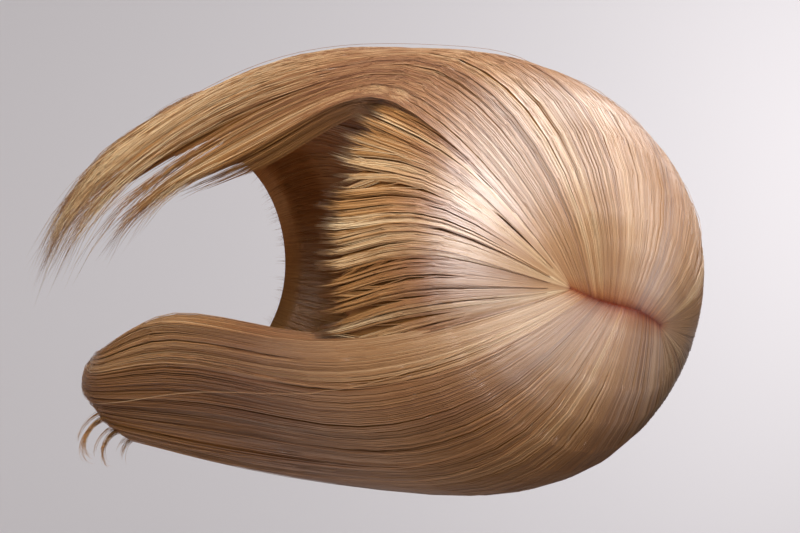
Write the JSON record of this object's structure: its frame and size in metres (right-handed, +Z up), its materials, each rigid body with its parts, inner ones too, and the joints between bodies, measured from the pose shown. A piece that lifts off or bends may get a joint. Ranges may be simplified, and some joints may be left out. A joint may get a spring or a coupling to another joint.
{
  "type": "wig",
  "caption": "Medium-length blonde wig on a thin open cap, with a full fringe, a short parting on the crown, one side swept forward to thin tips and the other turned under.",
  "frame": {"origin": "inside of the cap at its highest point, where the crown of the head touches it", "axes": "+Z up out of the crown, the face looks along -Y, +X on the wearer's left"},
  "size_m": [0.2152, 0.2161, 0.3402],
  "materials": {
    "cap_net": "matt knitted stretch net",
    "parting_cloth": "matt skin-coloured cloth",
    "hair_fibre": "sleek synthetic fibre"
  },
  "bodies": {
    "root": {"cap": "cap_net", "parting_strip": "parting_cloth", "fringe": "hair_fibre", "right_side": "hair_fibre", "left_side": "hair_fibre", "back": "hair_fibre"}
  },
  "joints": []
}
